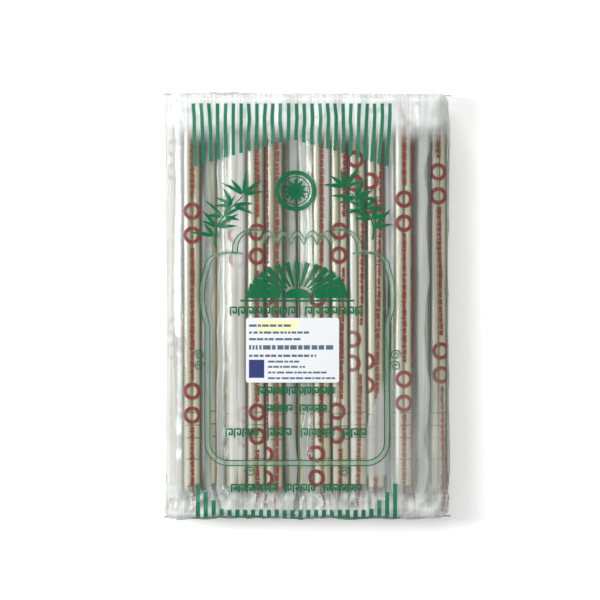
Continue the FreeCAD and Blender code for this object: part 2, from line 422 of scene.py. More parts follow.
def bamboo_material():
    """Turned and sanded bamboo: pale, dry and faintly streaked along the fibres, which are drawn a few times
    coarser than they are so that they show, and each stick a little different in tone."""
    values = settings().sticks
    material = new_material("turned_bamboo")
    mixing = {"data_type": "RGBA"}
    place = pattern_place(material, values.fibre_width, values.fibre_length, values.fibre_width)
    fibres = add_node(material, "TexNoise", Vector=place, Scale=1.0, Detail=3.0, Roughness=0.6)
    # One stick differs from the next over about the width of a pair.
    place = pattern_place(material, 6.0, 160.0, 6.0)
    tone = add_node(material, "TexNoise", Vector=place, Scale=1.0, Detail=1.0, Roughness=0.5)
    # Tiny dark flecks where a fibre bundle comes to the surface
    place = pattern_place(material, 0.45, 3.0, 0.45)
    flecks = add_node(material, "TexNoise", Vector=place, Scale=1.0, Detail=2.0, Roughness=0.7)
    share = add_node(material, "MapRange", in0=tone, in1=0.38, in2=0.68)
    pale, tan = opaque(values.pale), opaque(values.tan)
    wood = add_node(material, "Mix", mixing, in0=share, in6=pale, in7=tan).outputs[2]
    share = add_node(material, "MapRange", in0=fibres, in1=0.42, in2=0.72)
    wood = add_node(material, "Mix", mixing, in0=share, in6=wood, in7=opaque(values.deep)).outputs[2]
    share = add_node(material, "MapRange", in0=flecks, in1=0.66, in2=0.8, in4=0.5)
    wood = add_node(material, "Mix", mixing, in0=share, in6=wood, in7=opaque(linear("#7C6840"))).outputs[2]
    # The rings' sloping sides are the only faces that lean this much along the stick.
    normal = add_node(material, "NewGeometry").outputs["Normal"]
    lean = add_node(material, "SeparateXYZ", in0=normal).outputs[1]
    steep = add_node(material, "Math", {"operation": "ABSOLUTE"}, in0=lean)
    rise = add_node(material, "MapRange", in0=steep, in1=0.1, in2=0.25, in4=0.75)
    fall = add_node(material, "MapRange", in0=steep, in1=0.62, in2=0.5)
    share = add_node(material, "Math", {"operation": "MULTIPLY"}, in0=rise, in1=fall)
    wood = add_node(material, "Mix", mixing, in0=share, in6=wood, in7=opaque(values.groove)).outputs[2]
    bump = add_node(material, "Bump", Height=fibres, Strength=0.25, Distance=0.0001)
    shader = add_node(material, "BsdfPrincipled", Base_Color=wood, Roughness=0.5, IOR=1.5, Normal=bump)
    add_node(material, "OutputMaterial", Surface=shader)
    return material


def film_material(name, haze, crease_mm, bump_mm):
    """Clear polypropylene film: nearly all see-through, a thin milky haze, and sharp glints off small
    creases. The reflection is 2.5% head on and rises at a glancing view, 0.025 + 0.4 f^5, where the light's
    longer way through the folded film also darkens what shows through, by f^3. The milk_and_glare attribute
    is the share of white where many folds lie together, and also of painted glare and painted highlights
    over the left sticks, the tip end, the left side and long streaks. The veil attribute is the share of
    grey where loose film lies flat over a gap. The painted_shade attribute is painted shade: it darkens what
    shows through to an olive, as if shadow fell beside a pair and in the folds of the ends."""
    material = new_material(name)
    mixing = {"data_type": "RGBA"}
    times, times_and_add, power = ({"operation": kind} for kind in ("MULTIPLY", "MULTIPLY_ADD", "POWER"))
    place = pattern_place(material, crease_mm, 4 * crease_mm, crease_mm)
    creases = add_node(material, "TexNoise", Vector=place, Scale=1.0, Detail=4.0, Roughness=0.55)
    off_middle = add_node(material, "Math", {"operation": "SUBTRACT"}, in0=creases, in1=0.5)
    fold = add_node(material, "Math", {"operation": "ABSOLUTE"}, in0=off_middle)
    bump = add_node(material, "Bump", Height=fold, Strength=1.0, Distance=bump_mm * MM)
    facing = add_node(material, "LayerWeight", Blend=0.5, Normal=bump).outputs["Facing"]
    glance = add_node(material, "Math", power, in0=facing, in1=5.0)
    gloss_share = add_node(material, "Math", times_and_add, in0=glance, in1=0.4, in2=0.025)
    depth = add_node(material, "Math", power, in0=facing, in1=3.0)
    through, folded, painted_shadow = (opaque(linear(code)) for code in ("#FAFCFA", "#909E8B", "#7C8659"))
    tint = add_node(material, "Mix", mixing, in0=depth, in6=through, in7=folded).outputs[2]
    painted_shade, milk_and_glare, veil = (
        add_node(material, "Attribute", {"attribute_name": kind}).outputs["Fac"]
        for kind in ("painted_shade", "milk_and_glare", "veil")
    )
    # Painted shade: what shows through is darkened towards the olive painted_shadow colour
    tint = add_node(material, "Mix", mixing, in0=painted_shade, in6=tint, in7=painted_shadow).outputs[2]
    clear = add_node(material, "BsdfTransparent", Color=tint)
    white, grey = opaque(linear("#F3F6F5")), opaque(linear("#B0B8B6"))
    tone = add_node(material, "Mix", mixing, in0=veil, in6=white, in7=grey).outputs[2]
    # Long soft streaks about 1.5 mm wide, where the loose film lies in folds
    place = pattern_place(material, 1.5, 60.0, 20.0)
    streaks = add_node(material, "TexNoise", Vector=place, Scale=1.0, Detail=2.0, Roughness=0.6)
    streak = add_node(material, "MapRange", in0=streaks, in1=0.3, in2=0.7)
    uneven = add_node(material, "Math", times_and_add, in0=streak, in1=0.5, in2=0.6)
    milk_and_glare = add_node(material, "Math", times, in0=milk_and_glare, in1=uneven)
    uneven = add_node(material, "Math", times_and_add, in0=streak, in1=0.25, in2=0.75)
    veil = add_node(material, "Math", times, in0=veil, in1=uneven)
    cover = add_node(material, "Math", {"operation": "MAXIMUM"}, in0=milk_and_glare, in1=veil)
    cover = add_node(material, "Math", {"operation": "ADD"}, in0=cover, in1=haze)
    back = add_node(material, "BsdfDiffuse", Color=tone, Normal=bump)
    forth = add_node(material, "BsdfTranslucent", Color=tone, Normal=bump)
    scatter = add_node(material, "MixShader", in0=0.12, in1=back, in2=forth)
    body = add_node(material, "MixShader", in0=cover, in1=clear, in2=scatter)
    gloss = add_node(material, "BsdfGlossy", Color=(1, 1, 1, 1), Roughness=0.14, Normal=bump)
    surface = add_node(material, "MixShader", in0=gloss_share, in1=body, in2=gloss)
    add_node(material, "OutputMaterial", Surface=surface)
    return material


def ink_material(name, colour, density, mottle_mm):
    """Flexographic ink on film: a thin coat, thinner in small patches, that also tints what is behind."""
    material = new_material(name)
    place = pattern_place(material, mottle_mm, mottle_mm, mottle_mm)
    mottle = add_node(material, "TexNoise", Vector=place, Scale=1.0, Detail=3.0, Roughness=0.6)
    cover = add_node(material, "MapRange", in0=mottle, in1=0.35, in2=0.65, in3=density - 0.15, in4=density)
    coat = add_node(material, "BsdfPrincipled", Base_Color=opaque(colour), Roughness=0.4, IOR=1.3)
    tint = [0.1 + 0.9 * part ** 0.7 for part in colour]
    clear = add_node(material, "BsdfTransparent", Color=opaque(tint))
    surface = add_node(material, "MixShader", in0=cover, in1=clear, in2=coat)
    add_node(material, "OutputMaterial", Surface=surface)
    return material


def paper_material():
    """Coated label paper: smooth, white and slightly glossy. The mottle of its fibres is finer than a render
    shows, and is drawn at about 0.4 mm."""
    material = new_material("coated_label_paper")
    place = pattern_place(material, 0.4, 0.4, 0.4)
    fibres = add_node(material, "TexNoise", Vector=place, Scale=1.0, Detail=3.0, Roughness=0.6)
    share = add_node(material, "MapRange", in0=fibres, in1=0.4, in2=0.8)
    paper = settings().label.paper
    shaded = [0.94 * part for part in paper]
    sheet = add_node(
        material, "Mix", {"data_type": "RGBA"}, in0=share, in6=opaque(paper), in7=opaque(shaded)
    )
    bump = add_node(material, "Bump", Height=fibres, Strength=0.2, Distance=0.00003)
    shader = add_node(
        material, "BsdfPrincipled", Base_Color=sheet.outputs[2], Roughness=0.38, IOR=1.5, Normal=bump
    )
    add_node(material, "OutputMaterial", Surface=shader)
    return material


def print_material(name, colour):
    """Thermal or offset print on paper: flat and matt, with grain where the ink took less well, which is
    finer than a render shows and is drawn at about 0.3 mm."""
    material = new_material(name)
    place = pattern_place(material, 0.3, 0.3, 0.3)
    grain = add_node(material, "TexNoise", Vector=place, Scale=1.0, Detail=2.0, Roughness=0.5)
    share = add_node(material, "MapRange", in0=grain, in1=0.55, in2=0.85)
    pale = [0.75 * part + 0.25 for part in colour]
    ink = add_node(
        material, "Mix", {"data_type": "RGBA"}, in0=share, in6=opaque(colour), in7=opaque(pale)
    )
    shader = add_node(material, "BsdfPrincipled", Base_Color=ink.outputs[2], Roughness=0.6, IOR=1.45)
    add_node(material, "OutputMaterial", Surface=shader)
    return material


# Where the sticks lie, read from the solids


def node_points(node):
    """A node's points in millimetres."""
    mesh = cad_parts[node].data
    points = np.empty(3 * len(mesh.vertices), np.float32)
    mesh.vertices.foreach_get("co", points)
    return points.reshape(-1, 3).astype(float) / MM


def axis_ends(points):
    """The middle of a stick's thick end and of its thin end."""
    low, high = points[:, 1].min(), points[:, 1].max()
    butt = points[points[:, 1] < low + 0.2].mean(axis=0)
    tip = points[points[:, 1] > high - 0.2].mean(axis=0)
    return np.stack([butt, tip])


def single_pair(name):
    """The centre line of a pair whose sticks are two nodes: the mean of its two sticks' axes."""
    left = axis_ends(node_points(name + "_stick_left"))
    right = axis_ends(node_points(name + "_stick_right"))
    return (left + right) / 2


def layer_pairs(name):
    """The centre lines of the pairs of one layer: its points shared out to evenly spaced places."""
    points = node_points(name + "_sticks")
    count = LAYER_PAIRS[name]
    low, high = points[:, 0].min(), points[:, 0].max()
    half = STICK_OFFSET + (STICK_BOX[1, 0] - STICK_BOX[0, 0]) / 2
    places = np.linspace(low + half, high - half, count)
    nearest = np.abs(points[:, :1] - places[None, :]).argmin(axis=1)
    return [axis_ends(points[nearest == index]) for index in range(count)]


# The sleeves


def sleeve_sections(rows, seed, half_width, ears, fineness):
    """Each point's place across and height from the pair's centre line, for sections at the given rows; also
    the places across of a section's front, and the shares from 0 to 1 at which its loose film is cut into
    columns. A section's front and back are halves of the curve |x / w|^3 + |z / h|^3 = 1 with a shallow
    valley between the sticks, and between them on each side is a thin fold of loose film that lies down on
    the pairs below."""
    values = settings().sleeves
    high = STICK_RADIUS + values.slack
    turn = np.linspace(-1, 1, 8 * fineness + 1) * math.pi / 2
    front = half_width * np.sign(turn) * np.abs(np.sin(turn)) ** (2 / 3)
    front_z = high * np.cos(turn).clip(0) ** (2 / 3)
    front_z = front_z - values.valley * np.cos(np.clip(front / STICK_OFFSET, -1, 1) * math.pi / 2) ** 2
    place = np.stack([front + 0 * rows, 0.5 * rows + front, 3.1 * seed + 0 * rows * front], axis=-1)
    fade = np.cos(np.clip(front / half_width, -1, 1) * math.pi / 2) ** 0.5
    front_z = front_z + 0.3 * fade * (crease_noise(place, (5.0, 9.0, 4.0), seed, 2.0) - 0.4)
    wave = np.stack([rows, 0 * rows, 0 * rows + seed], axis=-1)
    wave = 0.75 + 0.5 * soft_noise(wave, (17.0, 1.0, 1.0), seed)
    fold = np.linspace(0, 1, 2 * fineness + 1)[1:]
    sides = []
    for side, ear in ((1, ears[1]), (-1, ears[0])):
        across = side * (half_width + ear * wave * fold)
        level = -(high - 0.35) * smooth_step(fold, 0, 0.45) * min(1.0, ear / 1.5)
        lying = np.stack([across, 0.3 * rows + 0 * across, 2.3 * seed + 0 * across], axis=-1)
        ripple = 0.5 * (soft_noise(lying, (2.2, 26.0, 3.0), seed + 5) - 0.5) * min(1.0, ear / 3) * fold
        sides.append((across, level + ripple))
    right, left = sides
    back = -front
    back_z = -high * np.cos(turn).clip(0) ** (2 / 3) + 0 * rows
    across = np.concatenate(
        [left[0][:, ::-1], front + 0 * rows, right[0], right[0][:, ::-1], back[1:-1] + 0 * rows, left[0]],
        axis=1,
    )
    height = np.concatenate(
        [left[1][:, ::-1], front_z, right[1], right[1][:, ::-1] - 0.12, back_z[:, 1:-1], left[1] - 0.12],
        axis=1,
    )
    return across, height, front, fold


def sleeve_finish(place, closing, seed, half_width, ears, front, fold, highlight):
    """Each point's milk and glare, veil and painted shade on a sleeve. The milk and glare is patches of
    white in the closed ends, milky film that is whiter at the tips as painted glare, and a painted
    highlight, a bell of white over the left stick. Veil covers loose film that lies over a wide gap. The
    painted shade darkens a little over the right half, in a smooth step at the right stick's flank, on the
    loose film next to it, and in the pinched folds of the thick end, where shadow would fall."""
    values = settings().sleeves
    rows = place[..., 1]
    # The columns that hold the loose film on the left, the front and the loose film on the right
    lefts = slice(0, len(fold))
    fronts = slice(len(fold), len(fold) + len(front))
    rights = slice(len(fold) + len(front), 2 * len(fold) + len(front))
    veil, painted_shade, painted_highlight = (np.zeros(rows.shape) for _ in range(3))
    grey = smooth_step(fold, 0.25, 0.65) * 0.72
    veil[:, lefts] = (grey * (ears[0] > 2))[::-1]
    veil[:, rights] = grey * (ears[1] > 2)
    # Painted shade: the right stick's flank and the loose film beside it darken as if in shadow, the right
    # half a little
    flank = smooth_step(front, half_width - 1.5, half_width - 0.4)
    painted_shade[:, fronts] = 0.12 * smooth_step(front, 0, 2) + 0.7 * flank
    painted_shade[:, rights] = 0.82 * (1 - smooth_step(fold, 0.15, 0.4)) * (ears[1] > 2)
    # Painted highlight: a bell of white over the left stick, for the glare of the lamp on the left
    glow = np.exp(-((front + half_width - 1.9) / 1.3) ** 2)
    painted_highlight[:, fronts] = glow * soft_noise(place[:, fronts] * [0, 1, 1], (1.0, 45.0, 4.0), seed + 7)
    # The ends are white with milky film, and the tips whiter as painted glare
    white = np.where(rows > 0, values.tip_milk_and_glare, values.butt_milk) * (1.0 if highlight else 0.4)
    patches = 0.15 + 1.7 * soft_noise(place, (3.5, 6.0, 4.0), seed + 6)
    milk_and_glare = white * closing * patches + highlight * painted_highlight * (1 - closing)
    # Painted shade in the creases of the crumpled thick end
    painted_shadow = 0.55 * (rows < 0) * crease_noise(place, (4.0, 7.0, 4.0), seed + 8, 4.0)
    painted_shade = painted_shade * (1 - closing) + painted_shadow * closing
    return {"milk_and_glare": milk_and_glare, "veil": veil * (1 - closing), "painted_shade": painted_shade}


def sleeve_grid(line, seed, half_width, ears, fineness, highlight=0.0):
    """One sleeve as a closed grid of sections along its pair, with each point's milk and glare, veil and
    painted shade, each row's place along the bag and each front column's place across. Past the sticks' ends
    the sections close to a flat band, which creases, swings aside and wanders up and down."""
    values = settings().sleeves
    butt, tip = line[0, 1], line[1, 1]
    past = 14.5 + 2.5 * np.random.default_rng(seed).random(2)
    body = np.linspace(butt - 0.5, tip + 0.5, 30 * fineness - 10)
    bends = np.linspace(0, 1, 8 * fineness + 1)[1:]
    along = np.concatenate([butt - 0.5 - past[0] * bends[::-1], body, tip + 0.5 + past[1] * bends])
    rows = along[:, None]
    closing = smooth_step(np.maximum(butt - 0.5 - rows, rows - tip - 0.5), 0, 7.0)
    across, height, front, fold = sleeve_sections(rows, seed, half_width, ears, fineness)
    top = np.concatenate([-half_width - ears[0] * fold[::-1], front, half_width + ears[1] * fold])
    place = np.stack([across, rows + 0 * across, 5.0 * np.full_like(across, seed)], axis=-1)
    finish = sleeve_finish(place, closing, seed, half_width, ears, front, fold, highlight)
    crumple = values.crumple * (2 * crease_noise(place, (3.6, 8.0, 4.0), seed + 1, 1.3) - 0.9)
    crumple += 0.9 * values.crumple * (soft_noise(place, (9.0, 9.0, 4.0), seed + 2) - 0.5)
    squeeze = 1 + 0.25 * (soft_noise(place, (30.0, 6.0, 4.0), seed + 3) - 0.5)
    swing = 5.0 * (soft_noise(place, (60.0, 14.0, 4.0), seed + 4) - 0.5) * closing
    height = height * (1 - closing) + (0.07 * height + crumple) * closing
    across = across * (1 - closing + closing * squeeze) + swing
    share = (rows - butt) / (tip - butt)
    centre = line[0] + (line[1] - line[0]) * share[..., None]
    points = np.stack([centre[..., 0] + across, rows + 0 * across, centre[..., 2] + height], axis=-1)
    return inside_bag(points), finish, along, top


def inside_bag(points):
    """Points kept a little inside the bag's film: between its sides, above its back and under its front,
    which curves down over the ends on a radius, r - sqrt(r^2 - d^2) at a distance d past where it starts."""
    side = BAG_HALF_WIDTH - 0.6
    past = np.clip(np.abs(points[..., 1]) - (BAG_HALF_LENGTH - END_RADIUS), 0, END_RADIUS - 0.5)
    top = BAG_TOP - 0.5 - END_RADIUS + np.sqrt(END_RADIUS ** 2 - past ** 2)
    x = np.clip(points[..., 0], -side, side)
    z = np.clip(points[..., 2], 0.5, top)
    return np.stack([x, points[..., 1], z], axis=-1)


def surface_on(points, normals, along, top, lift):
    """The function that lays flat print on a grid, blended between its points and raised off it by lift.
    Along gives the rows' places and top the columns' places in the plane of the print."""

    def laid(x, y):
        column = np.interp(x, top, np.arange(len(top)))
        row = np.interp(y, along, np.arange(len(along)))
        c = np.minimum(column.astype(int), len(top) - 2)
        r = np.minimum(row.astype(int), len(along) - 2)
        cs = (column - c)[..., None]
        rs = (row - r)[..., None]
        total = 0
        for values, weight in ((points, 1.0), (normals, lift)):
            total = total + weight * (
                values[r, c] * (1 - cs) * (1 - rs) + values[r, c + 1] * cs * (1 - rs)
                + values[r + 1, c] * (1 - cs) * rs + values[r + 1, c + 1] * cs * rs
            )
        return total

    return laid


def grid_normals(grid, centre):
    """Outward unit normals of a closed grid: the cross product of its differences along and round it."""
    along = np.gradient(grid, axis=0)
    around = np.roll(grid, -1, axis=1) - np.roll(grid, 1, axis=1)
    normal = np.cross(around, along)
    normal /= np.maximum(np.linalg.norm(normal, axis=-1, keepdims=True), 1e-9)
    return normal * np.sign((normal * (grid - centre)).sum())


def sleeve_piece(name, sleeves, material, node):
    """All sleeves of one node as closed grids in one piece, with each point's milk and glare, veil and
    painted shade.
    """
    poles = {"milk_and_glare": [0.3, 0.3], "veil": [0.0, 0.0], "painted_shade": [0.0, 0.0]}
    attributes = {
        key: np.concatenate([part for sleeve in sleeves for part in (sleeve[1][key].ravel(), poles[key])])
        for key in poles
    }
    points, faces = closed_tubes([sleeve[0] for sleeve in sleeves])
    return new_piece(name, points, faces, material, [node], attributes)


def front_sleeves():
    """The sleeves that show, by name: those of the top pairs, whose width and loose film fit the room beside
    them, and those of the two pairs seen at the bag's edges."""
    values = settings().sleeves
    lines = [single_pair(name) for name in TOP_PAIRS]
    middles = np.array([line[:, 0].mean() for line in lines])
    spaces = np.diff(middles)
    left = np.concatenate([OUTER_ROOM[:1], spaces])
    right = np.concatenate([spaces, OUTER_ROOM[1:]])
    sleeves = {}
    for index, (name, line) in enumerate(zip(TOP_PAIRS, lines)):
        room = min(left[index], right[index]) / 2 - 0.12
        half_width = min(values.half_width, room)
        ears = [
            min(values.ear, max(NO_EARS[0], 0.8 * (space / 2 - half_width - 0.1)))
            for space in (left[index], right[index])
        ]
        sleeves[name] = sleeve_grid(line, 40 + index, half_width, ears, 3, HIGHLIGHTS[index])
    for index, name in enumerate(EDGE_PAIRS):
        half_width = STICK_OFFSET + STICK_RADIUS + values.slack
        sleeves[name] = sleeve_grid(single_pair(name), 60 + index, half_width, NO_EARS, 3, EDGE_HIGHLIGHT)
    return sleeves


# Print as thin ribbons


def ribbon(path, half_width, columns=2, closed=False):
    """A flat ribbon along a path in the plane, as rows of points set off to both sides by half_width."""
    path = np.asarray(path, float)
    if closed:
        way = np.roll(path, -1, axis=0) - np.roll(path, 1, axis=0)
    else:
        way = np.gradient(path, axis=0)
    way /= np.linalg.norm(way, axis=1, keepdims=True)
    side = np.stack([-way[:, 1], way[:, 0]], axis=-1)
    offsets = np.linspace(1, -1, columns + 1)
    widths = np.broadcast_to(np.asarray(half_width, float), (len(path),))
    return path[:, None, :] + side[:, None, :] * widths[:, None, None] * offsets[None, :, None]


def block(low, high, step=1.6):
    """A filled rectangle in the plane as a grid of points."""
    low, high = np.asarray(low, float), np.asarray(high, float)
    counts = np.maximum(1, np.ceil(np.abs(high - low) / step)).astype(int) + 1
    xs = np.linspace(low[0], high[0], counts[0])
    ys = np.linspace(low[1], high[1], counts[1])
    return np.stack(np.meshgrid(xs, ys), axis=-1)


def circle(centre, radius, count=40):
    """Points round a circle in the plane."""
    turn = np.linspace(0, 2 * math.pi, count, endpoint=False)
    return np.stack([centre[0] + radius * np.cos(turn), centre[1] + radius * np.sin(turn)], axis=-1)


def print_piece(name, shapes, surface, material, reach=(-1000.0, 1000.0)):
    """One piece of print from flat shapes, each a grid of points laid on a surface; closed shapes join their
    ends. Print past the reach across the surface is cut off."""
    points = []
    faces = []
    start = 0
    for grid, closed in shapes:
        if closed:
            grid = np.concatenate([grid, grid[:1]])
        rows, columns = grid.shape[:2]
        laid = surface(np.clip(grid[..., 0], *reach), grid[..., 1]).reshape(-1, 3)
        local = grid_faces(rows, columns)
        middle = grid[..., 0].ravel()[local].mean(axis=1)
        local = local[(middle > reach[0]) & (middle < reach[1])]
        if not len(local):
            continue
        a, b, c = (laid[local[:, k]] for k in (0, 1, 2))
        if np.cross(b - a, c - a)[:, 2].sum() < 0:
            local = local[:, ::-1]
        used, local = np.unique(local, return_inverse=True)
        points.append(laid[used])
        faces += (local.reshape(-1, 4) + start).tolist()
        start += len(used)
    return new_piece(name, np.concatenate(points), faces, material)


def sleeve_shapes(name, seed):
    """The print of one sleeve in the plane of its film: sets of two rings, and dashes between the sets."""
    values = settings().sleeves
    ring_side, ring_place, line_sides, lean = SLEEVE_PRINT[name]
    noise = np.random.default_rng(seed)
    shapes = []
    first = ring_place + values.ring_repeat
    sets = [first - index * values.ring_repeat for index in range(4)]
    for top in sets:
        for place in (top, top - values.ring_spacing):
            if abs(place) < RING_REACH:
                loop = circle((ring_side + lean * place / 100, place), values.ring_radius)
                shapes.append((ribbon(loop, values.ring_line / 2, 3, True), True))
    for number, line_side in enumerate(line_sides):
        along = DASH_REACH
        while along > -DASH_REACH:
            length = noise.uniform(1.5, 6.5)
            off_rings = [abs(along - length / 2 - top + values.ring_spacing / 2) for top in sets]
            clear = min(off_rings) > values.ring_spacing / 2 + RING_ROOM
            if clear or abs(ring_side - line_side) > LINE_ROOM:
                half = noise.uniform(0.7, 1.1)
                x = line_side + lean * along / 100 + noise.uniform(-0.15, 0.15)
                shapes.append((block((x - half, along - length), (x + half, along), 1.2), False))
                # A short tick beside each dash
                if number == 0:
                    middle = along - length * noise.uniform(0.3, 0.7)
                    tick = block((x - half - 0.9, middle - 0.3), (x - half, middle + 0.3), 1.2)
                    shapes.append((tick, False))
            along -= length + noise.uniform(0.2, 0.55)
    return shapes


# The bag


def bag_outline(inset, counts):
    """The bag's section in the XZ plane, pulled in by inset: a rectangle with round corners, always with the
    same number of points on each side and corner, so that sections of any inset join up."""
    half_width = BAG_HALF_WIDTH - inset
    low, high = inset, BAG_TOP - inset
    low_radius = LOW_RADIUS - inset
    high_radius = HIGH_RADIUS - inset
    side, low_corner, high_corner, flat, bottom = counts
    parts = []

    def arc(centre_x, centre_z, radius, start, count):
        turn = start + np.linspace(0, math.pi / 2, count, endpoint=False)
        round_x = centre_x + radius * np.cos(turn)
        parts.append(np.stack([round_x, centre_z + radius * np.sin(turn)], axis=-1))

    def straight(start, end, count):
        share = np.linspace(0, 1, count, endpoint=False)[:, None]
        parts.append(np.array(start) * (1 - share) + np.array(end) * share)

    flat_x, low_x = half_width - high_radius, half_width - low_radius
    straight((flat_x, high), (-flat_x, high), flat)
    arc(-flat_x, high - high_radius, high_radius, math.pi / 2, high_corner)
    straight((-half_width, high - high_radius), (-half_width, low + low_radius), side)
    arc(-low_x, low + low_radius, low_radius, math.pi, low_corner)
    straight((-low_x, low), (low_x, low), bottom)
    arc(low_x, low + low_radius, low_radius, 3 * math.pi / 2, low_corner)
    straight((half_width, low + low_radius), (half_width, high - high_radius), side)
    arc(flat_x, high - high_radius, high_radius, 0, high_corner)
    return np.concatenate(parts)


def section_at(outline, y):
    """A flat outline in the XZ plane as points in space at a place along Y."""
    return np.stack([outline[:, 0], np.full(len(outline), y), outline[:, 1]], axis=-1)


def bag_grid():
    """The full bag before its creases: sections from the middle of one end, out over its rounded edge, along
    the bag and in again to the middle of the other end. Also gives each section's distance along the film
    from the bag's middle."""
    step = 1.7
    flat_x = BAG_HALF_WIDTH - HIGH_RADIUS
    counts = (
        int((BAG_TOP - LOW_RADIUS - HIGH_RADIUS) / step),
        8,
        11,
        int(2 * flat_x / step),
        int(2 * (BAG_HALF_WIDTH - LOW_RADIUS) / 3),
    )
    turns = np.linspace(0, math.pi / 2, 8)
    insets = list(END_RADIUS * (1 - np.cos(turns)))
    ys = list(BAG_HALF_LENGTH - END_RADIUS + END_RADIUS * np.sin(turns))
    lengths = list(BAG_HALF_LENGTH - END_RADIUS + END_RADIUS * turns)
    outer = [section_at(bag_outline(inset, counts), y) for inset, y in zip(insets, ys)]
    centre = np.array([0.0, BAG_HALF_LENGTH, settings().bag.seal_height])
    for share in (0.88, 0.72, 0.55, 0.38, 0.2, 0.06):
        outer.append(centre + (outer[len(insets) - 1] - centre) * share)
        lengths.append(lengths[len(insets) - 1] + (1 - share) * BAG_TOP / 2)
    middle_y = np.linspace(-(BAG_HALF_LENGTH - END_RADIUS), BAG_HALF_LENGTH - END_RADIUS, 157)[1:-1]
    flat = bag_outline(0.0, counts)
    body = [section_at(flat, y) for y in middle_y]
    mirror = np.array([1.0, -1.0, 1.0])
    grid = np.stack([row * mirror for row in reversed(outer)] + body + outer)
    along = np.array([-length for length in reversed(lengths)] + list(middle_y) + lengths)
    return grid, along, counts


def label_cover(x, y, margin):
    """1 under the label and 0 away from it, over a margin in mm."""
    low, high = LABEL_BOX
    off_x = np.maximum(low[0] - x, x - high[0])
    off_y = np.maximum(low[1] - y, y - high[1])
    return 1 - smooth_step(np.maximum(off_x, off_y), 0, margin)


def pair_dips(x, y):
    """How far the film dips into each wide gap between the top pairs, as the solid does: its depth is the
    gap's width times the sag times 1 - t^2, and it rises to nothing towards the bag's ends and the label."""
    middles = np.array([single_pair(name)[:, 0].mean() for name in TOP_PAIRS])
    half = (SLEEVE_BOX[1, 0] - SLEEVE_BOX[0, 0]) / 2
    ends = 1 - smooth_step(np.abs(y), DIP_END - DIP_SLOPE, DIP_END)
    label_low, label_high = LABEL_BOX
    off_label = np.maximum(label_low[1] - y, y - label_high[1])
    beside = smooth_step(off_label, 3.0, 3.0 + DIP_SLOPE)
    dip = np.zeros_like(x)
    for low, high in zip(middles[:-1] + half, middles[1:] - half):
        if high - low > DIP_GAP:
            share = np.clip((2 * x - low - high) / (high - low), -1, 1)
            room = beside if low < label_high[0] and high > label_low[0] else 1.0
            dip += settings().bag.sag * (high - low) * (1 - share ** 2) * ends * room
    return dip


def bag_relief(points, normals, along):
    """How far the film stands off the smooth bag, in mm: long ripples over the sticks, creases that grow
    towards the ends and corners, gathers round the ends, and dips between the top pairs."""
    values = settings().bag
    x, y = points[..., 0], points[..., 1]
    end = smooth_step(np.abs(y), 70, 126)
    corner = smooth_step(np.abs(x), 55, 90)
    ripples = values.ripple * (soft_noise(points, (7.5, 70.0, 9.0), 11) - 0.5)
    warped = points + 5 * (soft_noise(points, (30.0, 30.0, 30.0), 17)[..., None] - 0.5)
    creases = crease_noise(warped, (13.0, 30.0, 12.0), 12, 3.0) - 0.25
    fine = crease_noise(warped, (6.0, 9.0, 6.0), 13, 2.0) - 0.35
    butt = smooth_step(-y, 108, 128)
    spread = values.crease * (0.12 + 0.55 * end + 0.3 * corner)
    relief = ripples + spread * creases + (0.3 + 0.9 * butt) * spread * fine
    gathers = soft_noise(np.stack([x, points[..., 2], 0 * x], axis=-1), (5.0, 5.0, 1.0), 14) - 0.5
    relief += values.pleat * gathers * smooth_step(np.abs(along)[:, None] + 0 * x, 108, 134)
    front = np.clip(normals[..., 2], 0, 1)
    dip = front * pair_dips(x, y)
    # The film lies on what is under it: it never sinks into the sleeves, and it is flat under the label.
    relief = np.maximum(relief, -0.3) - dip
    down = np.clip(-normals[..., 2], 0, 1)
    relief = relief * (1 - down) + down * np.minimum(0, 0.3 * relief)
    cover = label_cover(x, y, 9.0) * front
    return relief * (1 - cover) - 0.3 * cover


def make_bag():
    """The bag's film as a grid of points, and the function that lays flat print on its front. A flat point
    is a place across the bag and a distance along its film, which runs over the rounded ends."""
    smooth_grid, along, counts = bag_grid()
    normals = grid_normals(smooth_grid, np.array([0, 0, BAG_TOP / 2]))
    relief = bag_relief(smooth_grid, normals, along)
    grid = smooth_grid + normals * relief[..., None]
    across = np.linspace(-1, 1, counts[3] + 1) * (BAG_HALF_WIDTH - HIGH_RADIUS)
    return grid, surface_on(grid[:, counts[3]::-1], normals[:, counts[3]::-1], along, across, 0.14)


